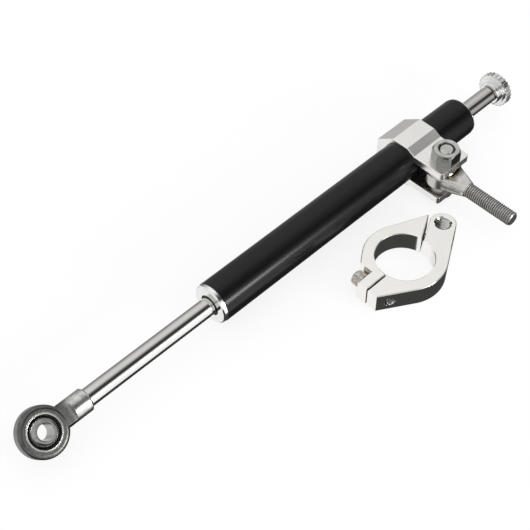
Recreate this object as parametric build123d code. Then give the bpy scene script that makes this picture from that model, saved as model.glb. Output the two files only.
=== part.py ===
"""Motorcycle steering damper: through-rod damper, clamp bracket, ball joints and fork clamp.

Frame: X runs along the damper from the eye to the adjuster, Z is up, and the bracket's
ears and the threaded link point to -Y. The origin is the centre of the eye's ball.
All lengths are in millimetres and all angles in degrees.
"""
from build123d import *
import os
from math import acos, asin, atan2, cos, degrees, hypot, radians, sin, sqrt

# Clearances and general values
running_gap = 0.05        # radial gap of a part that turns or slides
seat_gap = 0.04           # radial gap of parts that stay put in each other
overrun = 1.0             # how far a cutter runs past what it cuts
edge_break = 0.35         # small chamfer on machined edges

# Damper tube
tube_length = 185.8
tube_radius = 11.0
tube_bore_radius = 9.2
tube_end_round = 1.3
eye_to_tube = 105.5
tube_mouth_chamfer = 0.3

# Glands that close the tube
gland_lip_radius = 10.65
gland_front_lip = 2.5
gland_rear_lip = 1.0
gland_lip_chamfer = 0.7
gland_spigot_length = 30.0
wiper_radius = 5.8
wiper_depth = 3.0
wiper_recess = 0.4
wiper_lip_length = 1.0
gland_land = 2.0
rod_hole_gap = 0.25
seal_radius = 7.4
seal_length = 4.0
seal_groove_depth = 1.2
bush_radius = 6.1
gland_groove_floor = 7.6
gland_groove_width = 2.4
gland_groove_from_end = 8.0
ring_squeeze = 0.02
ring_sides = 8

# Piston rod
rod_radius = 4.75
shoulder_x = 26.0
rod_thread_radius = 3.95
rod_thread_length = 13.0
rod_beyond_gland = 24.9
rod_end_chamfer = 0.7
rod_bore_radius = 2.0
oil_way_radius = 1.1
port_radius = 0.9
port_from_clip = 4.0

# Piston
piston_from_front = 68.5
piston_length = 16.0
piston_radius = 9.05
piston_ring_width = 5.0
piston_ring_floor = 7.7
piston_ring_inner = 8.0
piston_edge = 0.6
bleed_count = 4
bleed_radius = 0.8
bleed_circle = 6.6
clip_thickness = 1.0
clip_outer = 6.2
clip_groove_depth = 0.6
clip_gap_width = 3.4

# Adjuster
spindle_radius = 1.92
valve_length = 4.5
valve_offset = 0.9
valve_clearance = 0.3
spindle_ring_floor = 1.3
spindle_ring_width = 0.9
spindle_ring_from_end = 12.0
knob_gap = 0.35
knob_hub_radius = 6.5
knob_hub_length = 2.2
knob_step_radius = 7.8
knob_step_length = 1.5
knob_flange_radius = 9.9
knob_flange_length = 3.6
knob_boss_radius = 6.0
knob_boss_length = 1.0
knob_edge = 0.5
knob_notch_count = 24
knob_notch_radius = 0.8
knob_notch_sides = 6
knob_notch_depth = 0.5
detent_ball_radius = 0.75
detent_circle = 3.4
detent_stand_out = 0.6
detent_hole_depth = 5.0
detent_wire_radius = 0.15
detent_wire_sides = 4
detent_spring_turns = 4
knob_screw_head_radius = 2.9
knob_screw_head_depth = 1.5
knob_screw_radius = 1.2
knob_screw_length = 6.0
knob_screw_socket = 1.0

# Ball joints
ball_radius = 7.94
ball_width = 12.0
ball_bore_radius = 4.0
ball_bore_chamfer = 0.35
ball_gap = 0.06
race_mouth_bevel = 1.1
race_width = 9.0
bolt_radius = 3.95

# Eye on the rod's near end
eye_tilt = 41.0
eye_head_radius = 12.4
eye_head_round = 2.1
eye_race_radius = 8.75
eye_liner_thickness = 0.45
eye_liner_half_width = 2.6
eye_shank_radius = 6.1
eye_shank_chamfer = 0.9
eye_runout_radius = 16.5
eye_neck_half = 4.3

# Clamp bracket
bracket_from_front = 147.6
bracket_width = 22.0
bracket_middle_z = -1.3
bracket_half_height = 13.7
bracket_far_y = 16.4
bracket_far_half = 6.5
bracket_flat_far_y = 6.2
bracket_flat_near_y = -3.8
bracket_ear_root_y = -8.9
bracket_ear_tip_y = -28.2
bracket_ear_round = 1.6
ear_thickness = 4.1
ear_gap = 13.8
link_y = -21.1
bolt_hole_gap = 0.15

# Pinch bolt, nut and washers
bolt_head_radius = 6.5
bolt_socket_flats = 5.0
bolt_socket_depth = 1.6
bolt_end_chamfer = 0.75
bolt_below_nut_top = 0.35
nut_flats = 13.4
nut_height = 7.4
nut_countersink_radius = 4.8
nut_corner_drop = 1.2
washer_radius = 7.2

# Link with the threaded stud
link_head_radius = 9.6
link_head_round = 1.5
link_race_radius = 8.8
link_half_width = 4.6
link_neck_start = 4.0
link_neck_end = 17.2
link_neck_big_radius = 8.7
stud_radius = 4.0
stud_reach = 47.1
stud_end_chamfer = 1.0
stud_neck_radius = 4.35

# Fork clamp
fork_x = 196.3
fork_y = -44.4
fork_thickness = 11.5
fork_bore_radius = 15.4
fork_ring_wall = 6.4
fork_split_gap = 0.8
fork_slant_gap = 1.3
fork_split_y = -1.1
fork_lug_reach = 7.65
fork_lug_seat_y = 5.3
fork_lug_corner_y = -7.5
fork_pocket_depth = 3.0
fork_eye_reach = 9.4
fork_eye_y = 1.3
fork_eye_radius = 7.0
fork_eye_hole_radius = 4.0
fork_eye_hole_chamfer = 0.75
fork_slant = 28.8
fork_tip_reach = 9.9
fork_screw_reach = 1.6
fork_screw_wall = 0.6
fork_screw_radius = 2.45
fork_screw_hole_gap = 0.1
fork_screw_head_radius = 4.0
fork_screw_head_length = 5.6
fork_screw_lift = 1.0     # the clamp is shown slack
fork_screw_short_length = 15.6
fork_screw_long_length = 17.0
fork_screw_seat = 4.6
fork_pocket_gap = 0.5
fork_socket_flats = 4.0
fork_socket_depth = 2.4
fork_screw_edge = 0.5

# Places that follow from the sizes above
tube_start = eye_to_tube
tube_end = tube_start + tube_length
gland_end = tube_end + gland_rear_lip
rod_reach = gland_end + rod_beyond_gland
piston_x = tube_start + piston_from_front
bracket_x = tube_start + bracket_from_front
floor_z = bracket_middle_z - bracket_half_height
ear_top_z = bracket_middle_z + ear_gap / 2 + ear_thickness
ear_bottom_z = bracket_middle_z - ear_gap / 2 - ear_thickness
bolt_head_height = ear_bottom_z - floor_z
nut_top_z = ear_top_z + nut_height
rear_port_x = piston_x + piston_length / 2 + running_gap + clip_thickness + port_from_clip
front_port_x = 2 * piston_x - rear_port_x
valve_seat_x = rear_port_x - valve_length / 2
knob_start = rod_reach + knob_gap
knob_end = knob_start + knob_hub_length + knob_step_length + knob_flange_length + knob_boss_length
fork_ring_radius = fork_bore_radius + fork_ring_wall
fork_lug_x = -fork_ring_radius - fork_lug_reach
fork_screw_x = -fork_ring_radius - fork_screw_reach
fork_pocket_x = -fork_ring_radius + fork_pocket_depth
fork_eye_x = fork_ring_radius + fork_eye_reach
fork_tip_along = fork_ring_radius + fork_tip_reach


def turned(points):
    """Solid turned about the X axis from (x, radius) points."""
    return revolve(make_face(Polyline(*points, close=True)), Axis.X)


def turned_z(points):
    """Solid turned about the Z axis from (radius, z) points."""
    face = make_face(Polyline(*[(r, 0, z) for r, z in points], close=True))
    return revolve(face, Axis.Z)


def ring_x(middle, middle_radius, wire_radius):
    """Ring about the X axis with a section of a few flats."""
    section = Pos(middle, middle_radius) * RegularPolygon(wire_radius, ring_sides)
    return revolve(section, Axis.X)


def rod_along(start, end, radius, x_dir=(1, 0, 0)):
    """Plain cylinder between two points."""
    way = Vector(*end) - Vector(*start)
    return extrude(Plane(Vector(*start), z_dir=way) * Circle(radius), way.length)


def hex_prism(flats, height):
    """Hexagon with two corners on its X axis, standing on Z = 0."""
    return extrude(RegularPolygon(flats / 2, 6, major_radius=False), height)


def outer_tube():
    """Damper tube, rounded at the adjuster end."""
    tube = turned([(tube_start, tube_bore_radius), (tube_start, tube_radius), (tube_end, tube_radius),
                   (tube_end, tube_bore_radius)])
    rims = tube.edges().filter_by(GeomType.CIRCLE).filter_by(lambda e: abs(e.radius - tube_radius) < seat_gap)
    tube = fillet(rims.sort_by(Axis.X)[-1], tube_end_round)
    rims = tube.edges().filter_by(GeomType.CIRCLE).filter_by(lambda e: abs(e.radius - tube_radius) < seat_gap)
    return chamfer(rims.sort_by(Axis.X)[0], tube_mouth_chamfer)


class Gland:
    """Where the steps of one gland lie, measured inwards from its outer face."""

    def __init__(self, face_x, lip, inwards):
        self.face_x = face_x
        self.lip = lip
        self.inwards = inwards
        self.wiper_end = wiper_depth
        self.seal_start = self.wiper_end + gland_land
        self.seal_end = self.seal_start + seal_length
        self.bush_start = self.seal_end + gland_land
        self.end = lip + gland_spigot_length
        self.groove_start = self.end - gland_groove_from_end

    def place(self, points):
        """Turn (depth, radius) points into (x, radius) points."""
        return [(self.face_x + self.inwards * depth, radius) for depth, radius in points]

    def body(self):
        """Lip, spigot with its ring groove, and the stepped bore."""
        spigot = tube_bore_radius - seat_gap
        hole = rod_radius + rod_hole_gap
        groove_end = self.groove_start + gland_groove_width
        points = [(0, wiper_radius), (0, gland_lip_radius - gland_lip_chamfer),
                  (gland_lip_chamfer, gland_lip_radius), (self.lip, gland_lip_radius), (self.lip, spigot),
                  (self.groove_start, spigot), (self.groove_start, gland_groove_floor),
                  (groove_end, gland_groove_floor), (groove_end, spigot), (self.end, spigot),
                  (self.end, bush_radius), (self.bush_start, bush_radius), (self.bush_start, hole),
                  (self.seal_end, hole), (self.seal_end, seal_radius), (self.seal_start, seal_radius),
                  (self.seal_start, hole), (self.wiper_end, hole), (self.wiper_end, wiper_radius)]
        return turned(self.place(points))

    def wiper(self):
        """Dirt wiper with a lip that leans on the rod."""
        inner = rod_radius + running_gap
        outer = wiper_radius - seat_gap
        back = self.wiper_end
        points = [(wiper_recess, inner), (wiper_recess, (inner + outer) / 2),
                  (wiper_recess + wiper_lip_length, outer), (back, outer), (back, inner + running_gap),
                  (wiper_recess + wiper_lip_length, inner + running_gap)]
        return turned(self.place(points))

    def seal(self):
        """Lip seal with its open groove towards the oil."""
        inner = rod_radius + running_gap
        outer = seal_radius - seat_gap
        middle = (inner + outer) / 2
        start = self.seal_start
        end = self.seal_end
        points = [(start, inner), (start, outer), (end, outer), (end - seal_groove_depth, middle), (end, inner)]
        return turned(self.place(points))

    def bush(self):
        """Plain bearing bush for the rod."""
        inner = rod_radius + running_gap
        outer = bush_radius - seat_gap
        start = self.bush_start
        points = [(start, inner), (start, outer), (self.end, outer), (self.end, inner)]
        return turned(self.place(points))

    def o_ring(self):
        """Static seal between the gland and the tube."""
        wire = (tube_bore_radius - gland_groove_floor) / 2 - ring_squeeze
        depth = self.groove_start + gland_groove_width / 2
        middle = (tube_bore_radius + gland_groove_floor) / 2
        return ring_x(self.face_x + self.inwards * depth, middle, wire)


def piston():
    """Piston with a ring groove and bleed holes."""
    half = piston_length / 2
    bore = rod_radius + running_gap
    ring = piston_ring_width / 2
    body = turned([(piston_x - half, bore), (piston_x - half, piston_radius - piston_edge),
                   (piston_x - half + piston_edge, piston_radius), (piston_x - ring, piston_radius),
                   (piston_x - ring, piston_ring_floor), (piston_x + ring, piston_ring_floor),
                   (piston_x + ring, piston_radius), (piston_x + half - piston_edge, piston_radius),
                   (piston_x + half, piston_radius - piston_edge), (piston_x + half, bore)])
    for index in range(bleed_count):
        turn = 360 / bleed_count * index
        hole = rod_along((piston_x - half - overrun, bleed_circle, 0),
                         (piston_x + half + overrun, bleed_circle, 0), bleed_radius)
        body -= Rot(turn, 0, 0) * hole
    return body


def piston_ring():
    """Slide ring that seals the piston in the tube."""
    half = piston_ring_width / 2 - running_gap
    outer = tube_bore_radius - running_gap
    return turned([(piston_x - half, piston_ring_inner), (piston_x - half, outer),
                   (piston_x + half, outer), (piston_x + half, piston_ring_inner)])


def clip_start(side):
    """Where the clip on one side of the piston starts along X."""
    face = piston_x + side * (piston_length / 2 + running_gap)
    return face if side > 0 else face - clip_thickness


def piston_clips():
    """The two open rings that hold the piston on the rod."""
    inner = rod_radius - clip_groove_depth + seat_gap
    clips = []
    for side in (-1, 1):
        start = clip_start(side)
        clip = turned([(start, inner), (start, clip_outer), (start + clip_thickness, clip_outer),
                       (start + clip_thickness, inner)])
        gap = Pos(start + clip_thickness / 2, 0, clip_outer) * Box(clip_thickness * 2, clip_gap_width,
                                                                   clip_outer * 2)
        clips.append(clip - gap)
    return Compound(children=clips)


def piston_rod():
    """Hollow through rod: threaded into the eye, grooved at the piston, bored for the spindle."""
    rod = turned([(shoulder_x - rod_thread_length, 0),
                  (shoulder_x - rod_thread_length, rod_thread_radius - rod_end_chamfer),
                  (shoulder_x - rod_thread_length + rod_end_chamfer, rod_thread_radius),
                  (shoulder_x, rod_thread_radius), (shoulder_x, rod_radius),
                  (rod_reach - rod_end_chamfer, rod_radius), (rod_reach, rod_radius - rod_end_chamfer),
                  (rod_reach, 0)])
    rod -= rod_along((valve_seat_x, 0, 0), (rod_reach + overrun, 0, 0), rod_bore_radius)
    rod -= rod_along((front_port_x - port_radius, 0, 0), (valve_seat_x + overrun, 0, 0), oil_way_radius)
    floor = rod_radius - clip_groove_depth
    for side in (-1, 1):
        start = clip_start(side)
        rod -= turned([(start, floor), (start, rod_radius + overrun),
                       (start + clip_thickness, rod_radius + overrun), (start + clip_thickness, floor)])
    for port_x in (front_port_x, rear_port_x):
        rod -= rod_along((port_x, 0, -rod_radius - overrun), (port_x, 0, rod_radius + overrun), port_radius)
    rod -= rod_along((rod_reach - detent_hole_depth, 0, detent_circle),
                     (rod_reach + overrun, 0, detent_circle), detent_ball_radius + seat_gap)
    return rod


def adjuster_spindle():
    """Spindle inside the rod: its off-centre tip opens the rear ports as it turns."""
    tip = valve_seat_x + valve_clearance
    ring = rod_reach - spindle_ring_from_end
    end = knob_end - knob_boss_length - knob_screw_head_depth
    spindle = turned([(tip, 0), (tip, spindle_radius), (ring, spindle_radius), (ring, spindle_ring_floor),
                      (ring + spindle_ring_width, spindle_ring_floor),
                      (ring + spindle_ring_width, spindle_radius), (end, spindle_radius), (end, 0)])
    hole = rod_along((end - knob_screw_length, 0, 0), (end + overrun, 0, 0), knob_screw_radius + seat_gap)
    valve = rod_along((tip - overrun, 0, 0), (tip + valve_length, 0, 0), rod_radius)
    valve -= rod_along((tip - overrun, valve_offset, 0), (tip + valve_length, valve_offset, 0), rod_bore_radius)
    return spindle - hole - valve


def spindle_o_ring():
    """Small ring that seals the spindle in the rod."""
    wire = (rod_bore_radius - spindle_ring_floor) / 2 - ring_squeeze
    middle = (rod_bore_radius + spindle_ring_floor) / 2
    return ring_x(rod_reach - spindle_ring_from_end + spindle_ring_width / 2, middle, wire)


def adjuster_knob():
    """Turning knob: stepped hub and a notched flange."""
    hub_end = knob_start + knob_hub_length
    step_end = hub_end + knob_step_length
    flange_end = step_end + knob_flange_length
    screw_floor = knob_end - knob_boss_length - knob_screw_head_depth
    bore = spindle_radius + seat_gap
    groove_depth = detent_stand_out - knob_gap + running_gap
    groove = detent_ball_radius + running_gap
    knob = turned([(knob_start, bore), (knob_start, knob_hub_radius - knob_edge),
                   (knob_start + knob_edge, knob_hub_radius), (hub_end, knob_hub_radius),
                   (hub_end, knob_step_radius), (step_end, knob_step_radius),
                   (step_end, knob_flange_radius), (flange_end, knob_flange_radius),
                   (flange_end, knob_boss_radius), (knob_end - knob_edge, knob_boss_radius),
                   (knob_end, knob_boss_radius - knob_edge), (knob_end, knob_screw_head_radius + seat_gap),
                   (screw_floor, knob_screw_head_radius + seat_gap), (screw_floor, bore)])
    notch_z = knob_flange_radius + knob_notch_radius - knob_notch_depth
    outline = RegularPolygon(knob_notch_radius, knob_notch_sides, major_radius=False)
    notch = extrude(Plane((step_end - overrun / 2, 0, notch_z), x_dir=(0, 1, 0), z_dir=(1, 0, 0)) * outline,
                    knob_flange_length + overrun)
    for index in range(knob_notch_count):
        knob -= Rot(360 / knob_notch_count * index, 0, 0) * notch
    return knob - turned([(knob_start - overrun, detent_circle - groove),
                          (knob_start - overrun, detent_circle + groove),
                          (knob_start + groove_depth, detent_circle + groove),
                          (knob_start + groove_depth, detent_circle - groove)])


def knob_screw():
    """Socket screw that holds the knob on its spindle."""
    floor = knob_end - knob_boss_length - knob_screw_head_depth
    screw = turned([(floor - knob_screw_length + valve_clearance, 0),
                    (floor - knob_screw_length + valve_clearance, knob_screw_radius),
                    (floor, knob_screw_radius), (floor, knob_screw_head_radius),
                    (floor + knob_screw_head_depth, knob_screw_head_radius),
                    (floor + knob_screw_head_depth, 0)])
    socket = rod_along((floor + knob_screw_head_depth - knob_screw_socket, 0, 0),
                       (floor + knob_screw_head_depth + overrun, 0, 0), knob_screw_radius)
    return screw - socket


def detent_ball():
    """Click ball at the rod's end."""
    return Pos(rod_reach + detent_stand_out - detent_ball_radius, 0, detent_circle) * Sphere(detent_ball_radius)


def detent_spring():
    """Coil spring behind the click ball."""
    start = rod_reach - detent_hole_depth + detent_wire_radius
    end = rod_reach + detent_stand_out - 2 * detent_ball_radius - detent_wire_radius
    coil = detent_ball_radius - detent_wire_radius
    path = Helix((end - start) / detent_spring_turns, end - start, coil, direction=(1, 0, 0))
    section = Plane(path @ 0, z_dir=path % 0) * RegularPolygon(detent_wire_radius, detent_wire_sides)
    return Pos(start, 0, detent_circle) * sweep(section, path, is_frenet=True)


def joint_ball(bore_radius):
    """Ball of a rod end: a sphere with two flats and a chamfered bore, about Z."""
    half = ball_width / 2
    ball = Sphere(ball_radius) & Box(ball_radius * 2, ball_radius * 2, ball_width)
    mouth = bore_radius + ball_bore_chamfer
    return ball - turned_z([(0, -half - overrun), (mouth + overrun, -half - overrun), (bore_radius, -half
                            + ball_bore_chamfer), (bore_radius, half - ball_bore_chamfer),
                            (mouth + overrun, half + overrun), (0, half + overrun)])


def joint_race(outer_radius, seat_radius):
    """Race of a rod end, with a spherical seat and bevelled mouths, about Z."""
    half = race_width / 2
    mouth = sqrt(seat_radius ** 2 - (half - race_mouth_bevel) ** 2)
    race = Cylinder(outer_radius, race_width) - Sphere(seat_radius)
    bevel = [(0, half - race_mouth_bevel), (mouth, half - race_mouth_bevel), (mouth + race_mouth_bevel / 2, half),
             (mouth + race_mouth_bevel / 2, half + overrun), (0, half + overrun)]
    cutter = turned_z(bevel)
    return race - cutter - mirror(cutter, Plane.XY)


def joint_head(radius, half_width, round_size, seat_radius):
    """Round head of a rod end with rounded rims and a hole for the race, about Z."""
    head = Cylinder(radius, half_width * 2)
    head = fillet(head.edges().filter_by(GeomType.CIRCLE), round_size)
    return head - Cylinder(seat_radius, half_width * 2 + overrun)


def tilted(shape):
    """Lean an eye part about the rod's axis."""
    return Rot(eye_tilt, 0, 0) * shape


def rod_end_body():
    """Eye on the rod: round head, milled neck and round shank with its threaded hole."""
    shank = rod_along((0, 0, 0), (shoulder_x, 0, 0), eye_shank_radius)
    shank = chamfer(shank.faces().sort_by(Axis.X)[-1].edges(), eye_shank_chamfer)
    cheek_height = eye_shank_radius
    for side in (-1, 1):
        middle = side * (eye_neck_half + cheek_height / 2)
        shank -= Pos(0, 0, middle) * Cylinder(eye_runout_radius, cheek_height)
    thread_start = shoulder_x - rod_thread_length - rod_end_chamfer
    shank -= rod_along((thread_start, 0, 0), (shoulder_x + overrun, 0, 0), rod_thread_radius + running_gap)
    seat = eye_race_radius + seat_gap
    shank -= Cylinder(seat, eye_head_radius * 2)
    return tilted(joint_head(eye_head_radius, race_width / 2, eye_head_round, seat) + shank)


def eye_seat_radius():
    """Radius of the race's seat for the liner on the eye's ball."""
    return ball_radius + 2 * ball_gap + eye_liner_thickness


def eye_race():
    """Steel race pressed into the eye."""
    return tilted(joint_race(eye_race_radius, eye_seat_radius()))


def eye_liner():
    """Thin bearing liner between the race and the ball."""
    outer = ball_radius + ball_gap + eye_liner_thickness
    liner = (Sphere(outer) - Sphere(ball_radius + ball_gap)) & Cylinder(outer + overrun, eye_liner_half_width * 2)
    return tilted(liner)


def eye_ball():
    """Ball of the eye."""
    return tilted(joint_ball(ball_bore_radius))


def clamp_bracket():
    """Eight-sided clamp round the tube with two flat ears."""
    top = bracket_half_height
    ear = ear_gap / 2 + ear_thickness
    upper = [(bracket_far_y, bracket_far_half), (bracket_flat_far_y, top), (bracket_flat_near_y, top),
             (bracket_ear_root_y, ear), (bracket_ear_tip_y, ear)]
    lower = [(y, -z) for y, z in reversed(upper)]
    outline = Polyline(*upper, *lower, close=True)
    section = Plane.YZ.offset(bracket_x - bracket_width / 2) * Pos(0, bracket_middle_z) * make_face(outline)
    body = extrude(section, bracket_width)
    body = chamfer(body.faces().sort_by(Axis.X)[0].edges(), edge_break)
    body = chamfer(body.faces().sort_by(Axis.X)[-1].edges(), edge_break)
    depth = bracket_far_y - bracket_ear_tip_y
    plan = Pos(bracket_x, bracket_far_y, floor_z) * Rectangle(bracket_width, depth, align=(Align.CENTER,
                                                                                          Align.MAX))
    plan = fillet(plan.vertices().group_by(Axis.Y)[0], bracket_ear_round)
    body = body & extrude(plan, bracket_half_height * 2)
    slot_end = bracket_flat_near_y
    slot_start = bracket_ear_tip_y - overrun
    slot = Pos(bracket_x, (slot_start + slot_end) / 2, bracket_middle_z) * Box(
        bracket_width + overrun * 2, slot_end - slot_start, ear_gap)
    start = (bracket_x - bracket_width, 0, 0)
    bore = rod_along(start, (bracket_x + bracket_width, 0, 0), tube_radius + running_gap)
    hole = rod_along((bracket_x, link_y, ear_bottom_z - overrun), (bracket_x, link_y, ear_top_z + overrun),
                     bolt_radius + bolt_hole_gap)
    return body - slot - bore - hole


def at_link(shape):
    """Move a part made about Z to the ball between the ears."""
    return Pos(bracket_x, link_y, bracket_middle_z) * shape


def pinch_bolt():
    """Low-head bolt through both ears and the ball."""
    head_base = ear_bottom_z - bracket_middle_z
    end = nut_top_z - bolt_below_nut_top - bracket_middle_z
    bolt = turned_z([(0, head_base - bolt_head_height), (bolt_head_radius - edge_break,
                     head_base - bolt_head_height), (bolt_head_radius, head_base - bolt_head_height + edge_break),
                     (bolt_head_radius, head_base), (bolt_radius, head_base),
                     (bolt_radius, end - bolt_end_chamfer), (bolt_radius - bolt_end_chamfer, end), (0, end)])
    socket = Pos(0, 0, head_base - bolt_head_height - overrun) * hex_prism(bolt_socket_flats,
                                                                           bolt_socket_depth + overrun)
    return at_link(bolt - socket)


def pinch_nut():
    """Tall hexagon nut with a chamfered top and a wide countersink."""
    base = ear_top_z - bracket_middle_z
    corner = nut_flats / sqrt(3)
    nut = Pos(0, 0, base) * hex_prism(nut_flats, nut_height)
    crown = turned_z([(0, base - overrun), (corner + overrun, base - overrun),
                      (corner + overrun, base + nut_height - nut_corner_drop),
                      (corner, base + nut_height - nut_corner_drop), (nut_flats / 2, base + nut_height),
                      (nut_flats / 2, base + nut_height + overrun), (0, base + nut_height + overrun)])
    hole = bolt_radius + running_gap
    drop = nut_countersink_radius - hole
    bore = turned_z([(0, base - overrun), (hole, base - overrun), (hole, base + nut_height - drop),
                     (nut_countersink_radius, base + nut_height),
                     (nut_countersink_radius, base + nut_height + overrun), (0, base + nut_height + overrun)])
    return at_link((nut & crown) - bore)


def link_washers():
    """Two thin washers between the ears and the ball."""
    thickness = (ear_gap - ball_width) / 2
    washers = []
    for side in (-1, 1):
        middle = side * (ball_width + thickness) / 2
        disc = Cylinder(washer_radius, thickness) - Cylinder(bolt_radius + bolt_hole_gap, thickness + overrun)
        washers.append(at_link(Pos(0, 0, middle) * disc))
    return Compound(children=washers)


def link_ball():
    """Ball clamped between the ears."""
    return at_link(joint_ball(bolt_radius + running_gap))


def link_race():
    """Brass-coloured race in the link's head."""
    return at_link(joint_race(link_race_radius, ball_radius + ball_gap))


def link_body():
    """Link: round head, tapered neck and threaded stud towards -Y."""
    seat = link_race_radius + seat_gap
    neck = make_face(Polyline((0, -link_neck_start), (link_neck_big_radius, -link_neck_start),
                              (stud_neck_radius, -link_neck_end),
                              (stud_neck_radius, -link_neck_end - stud_neck_radius / 4),
                              (stud_radius, -link_neck_end - stud_neck_radius / 2),
                              (stud_radius, -stud_reach + stud_end_chamfer),
                              (stud_radius - stud_end_chamfer, -stud_reach), (0, -stud_reach), close=True))
    neck = revolve(neck, Axis.Y)
    slab = Box(stud_reach * 2, stud_reach * 3, link_half_width * 2)
    neck = (neck & slab) - Cylinder(seat, link_half_width * 4)
    return at_link(joint_head(link_head_radius, link_half_width, link_head_round, seat) + neck)


def at_fork(shape):
    """Move a part made about the fork clamp's bore to its place, standing on the floor."""
    return Pos(fork_x, fork_y, floor_z) * shape


def tangent_point(point, radius, side):
    """Where the line from a point touches a circle about the origin; side is 1 or -1."""
    distance = hypot(*point)
    angle = atan2(point[1], point[0]) + side * acos(radius / distance)
    return (radius * cos(angle), radius * sin(angle))


def slant_height(across):
    """Distance of a line along the slanted split from the bore's centre, below it where negative."""
    turn = radians(fork_slant)
    eye_height = fork_eye_y * cos(turn) - fork_eye_x * sin(turn)
    return eye_height + fork_eye_radius + fork_slant_gap / 2 + across


def slant_point(along, across):
    """Point given along and across the slanted split, measured from the bore's centre."""
    turn = radians(fork_slant)
    height = slant_height(across)
    return (along * cos(turn) - height * sin(turn), along * sin(turn) + height * cos(turn))


def split_corner(side):
    """Where the edges of both splits would meet, inside the bore."""
    turn = radians(fork_slant)
    y = fork_split_y + side * fork_split_gap / 2
    return ((y * cos(turn) - slant_height(side * fork_slant_gap / 2)) / sin(turn), y)


def fork_region(side):
    """Big face on one side of the split; side is 1 for the plain half and -1 for the eye half."""
    gap = side * fork_split_gap / 2
    slant_gap = side * fork_slant_gap / 2
    reach = fork_ring_radius * 3
    left = (-reach, fork_split_y + gap)
    return make_face(Polyline(left, split_corner(side), slant_point(reach, slant_gap), (reach, side * reach),
                              (-reach, side * reach), close=True))


def fork_plain_outline():
    """Outline of the plain half before it is split off."""
    lug = (fork_lug_x, fork_lug_seat_y)
    tip = slant_point(fork_tip_along, fork_slant_gap / 2)
    shape = Circle(fork_ring_radius)
    pocket_top = tangent_point(lug, fork_ring_radius, -1)
    shape += make_face(Polyline((0, 0), tip, tangent_point(tip, fork_ring_radius, 1), close=True))
    shape += make_face(Polyline((0, 0), slant_point(0, 0), slant_point(fork_tip_along, 0), tip, close=True))
    shape += make_face(Polyline((0, fork_split_y * 2), (fork_lug_x, fork_split_y * 2), lug, pocket_top, close=True))
    seat = Pos(fork_pocket_x, fork_lug_seat_y) * Rectangle(
        fork_ring_radius, fork_ring_radius, align=(Align.MAX, Align.MIN))
    return shape - seat - Circle(fork_bore_radius)


def fork_eye_outline():
    """Outline of the half with the eye lug before it is split off."""
    corner = (fork_lug_x, fork_lug_corner_y)
    eye = (fork_eye_x, fork_eye_y)
    spread = hypot(*eye)
    angle = atan2(fork_eye_y, fork_eye_x) - acos((fork_ring_radius - fork_eye_radius) / spread)
    ring_touch = (fork_ring_radius * cos(angle), fork_ring_radius * sin(angle))
    eye_touch = (fork_eye_x + fork_eye_radius * cos(angle), fork_eye_y + fork_eye_radius * sin(angle))
    turn = radians(fork_slant)
    eye_top = (fork_eye_x - fork_eye_radius * sin(turn), fork_eye_y + fork_eye_radius * cos(turn))
    shape = Circle(fork_ring_radius) + Pos(*eye) * Circle(fork_eye_radius)
    shape += make_face(Polyline((0, 0), eye_top, eye, eye_touch, ring_touch, close=True))
    shape += make_face(Polyline((0, 0), (fork_lug_x, 0), corner, tangent_point(corner, fork_ring_radius, 1),
                                close=True))
    return shape - Circle(fork_bore_radius)


def fork_screw_frames():
    """Seat point and direction of each clamp screw, on the clamp's own axes."""
    turn = radians(fork_slant)
    middle = fork_thickness / 2
    left_seat = (fork_screw_x, fork_lug_seat_y, middle)
    eye_along = fork_eye_x * cos(turn) + fork_eye_y * sin(turn)
    hole = fork_screw_radius + fork_screw_hole_gap
    right = slant_point(eye_along - fork_eye_hole_radius - fork_screw_wall - hole, fork_screw_seat)
    return [(left_seat, (0, -1, 0), fork_screw_short_length),
            ((right[0], right[1], middle), (sin(turn), -cos(turn), 0), fork_screw_long_length)]


def fork_screw_hole(frame, radius, length, back):
    """Cylinder along a screw, from behind its seat to a length ahead of it."""
    seat, way, _ = frame
    start = Vector(*seat) - Vector(*way) * back
    end = Vector(*seat) + Vector(*way) * length
    return rod_along(tuple(start), tuple(end), radius)


def fork_plain_half():
    """Clamp half with the screw pockets."""
    half = extrude(fork_plain_outline() & fork_region(1), fork_thickness)
    half = broken_edges(half)
    for frame in fork_screw_frames():
        half -= fork_screw_hole(frame, fork_screw_radius + fork_screw_hole_gap * 2, fork_ring_radius, overrun)
    right = fork_screw_frames()[1]
    head = fork_screw_head_radius + fork_pocket_gap
    return at_fork(half - fork_screw_hole(right, head, 0, fork_ring_radius))


def fork_eye_half():
    """Clamp half with the eye lug and the threaded holes."""
    half = extrude(fork_eye_outline() & fork_region(-1), fork_thickness)
    half = broken_edges(half)
    for frame in fork_screw_frames():
        half -= fork_screw_hole(frame, fork_screw_radius + fork_screw_hole_gap, fork_ring_radius * 2, 0)
    mouth = fork_eye_hole_radius + fork_eye_hole_chamfer
    hole = turned_z([(0, -overrun), (mouth + overrun, -overrun), (fork_eye_hole_radius, fork_eye_hole_chamfer),
                     (fork_eye_hole_radius, fork_thickness - fork_eye_hole_chamfer),
                     (mouth + overrun, fork_thickness + overrun), (0, fork_thickness + overrun)])
    return at_fork(half - Pos(fork_eye_x, fork_eye_y) * hole)


def broken_edges(half):
    """Break the top and bottom rims of a flat clamp half."""
    half = chamfer(half.faces().sort_by(Axis.Z)[-1].edges(), edge_break)
    return chamfer(half.faces().sort_by(Axis.Z)[0].edges(), edge_break)


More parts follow.
